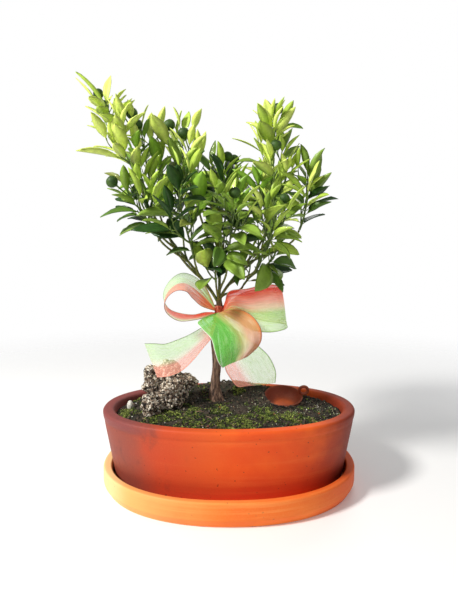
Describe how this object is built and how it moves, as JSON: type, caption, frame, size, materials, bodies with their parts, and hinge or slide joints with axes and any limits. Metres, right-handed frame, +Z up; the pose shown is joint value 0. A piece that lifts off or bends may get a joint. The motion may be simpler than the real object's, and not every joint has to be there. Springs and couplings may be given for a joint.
{
  "type": "potted orange bonsai",
  "caption": "Small orange tree trained as a bonsai, with green fruit, in an oval clay pot and saucer, with a ribbon bow on its trunk, a rock and a little dish on the soil.",
  "frame": {"origin": "centre of the saucer's flat underside", "axes": "+Z up along the trunk, +X along the pot's long side to the right seen from the front, +Y to the back"},
  "size_m": [0.2892, 0.207, 0.4331],
  "materials": {
    "clay": "unglazed terracotta, matt",
    "pale_clay": "paler unglazed terracotta, matt",
    "dish_clay": "unglazed terracotta, matt",
    "soil": "moist dark compost with moss and white grit",
    "bark": "fissured grey-brown bark",
    "leaf": "waxy green leaves, lime when young, with green fruit",
    "rock": "porous speckled rock",
    "red_ribbon": "sheer red organza with a fine edge",
    "green_ribbon": "sheer green organza with a fine edge"
  },
  "bodies": {
    "root": {"bough_back": "bark", "bough_back_left": "bark", "bough_back_right": "bark", "bough_centre": "bark", "bough_centre_left": "bark", "bough_fork": "bark", "bough_front": "bark", "bough_front_left": "bark", "bough_left": "bark", "bough_left_foot": "bark", "bough_left_inner": "bark", "bough_left_low": "bark", "bough_right": "bark", "bough_right_foot": "bark", "bough_right_low": "bark", "bough_right_outer": "bark", "dish": "dish_clay", "foliage_back": "leaf", "foliage_back_left": "leaf", "foliage_back_right": "leaf", "foliage_centre": "leaf", "foliage_centre_left": "leaf", "foliage_fork": "leaf", "foliage_front": "leaf", "foliage_front_left": "leaf", "foliage_left_foot": "leaf", "foliage_left_low": "leaf", "foliage_left_tip": "leaf", "foliage_left_upper": "leaf", "foliage_right_foot": "leaf", "foliage_right_low": "leaf", "foliage_right_outer": "leaf", "foliage_right_spire": "leaf", "pebble": "rock", "pot": "clay", "ribbon_knot": "red_ribbon", "ribbon_loop_front": "green_ribbon", "ribbon_loop_left": "red_ribbon", "ribbon_loop_right": "red_ribbon", "ribbon_tail_left": "red_ribbon", "ribbon_tail_right": "red_ribbon", "rock": "rock", "saucer": "pale_clay", "soil": "soil", "trunk": "bark"}
  },
  "joints": []
}
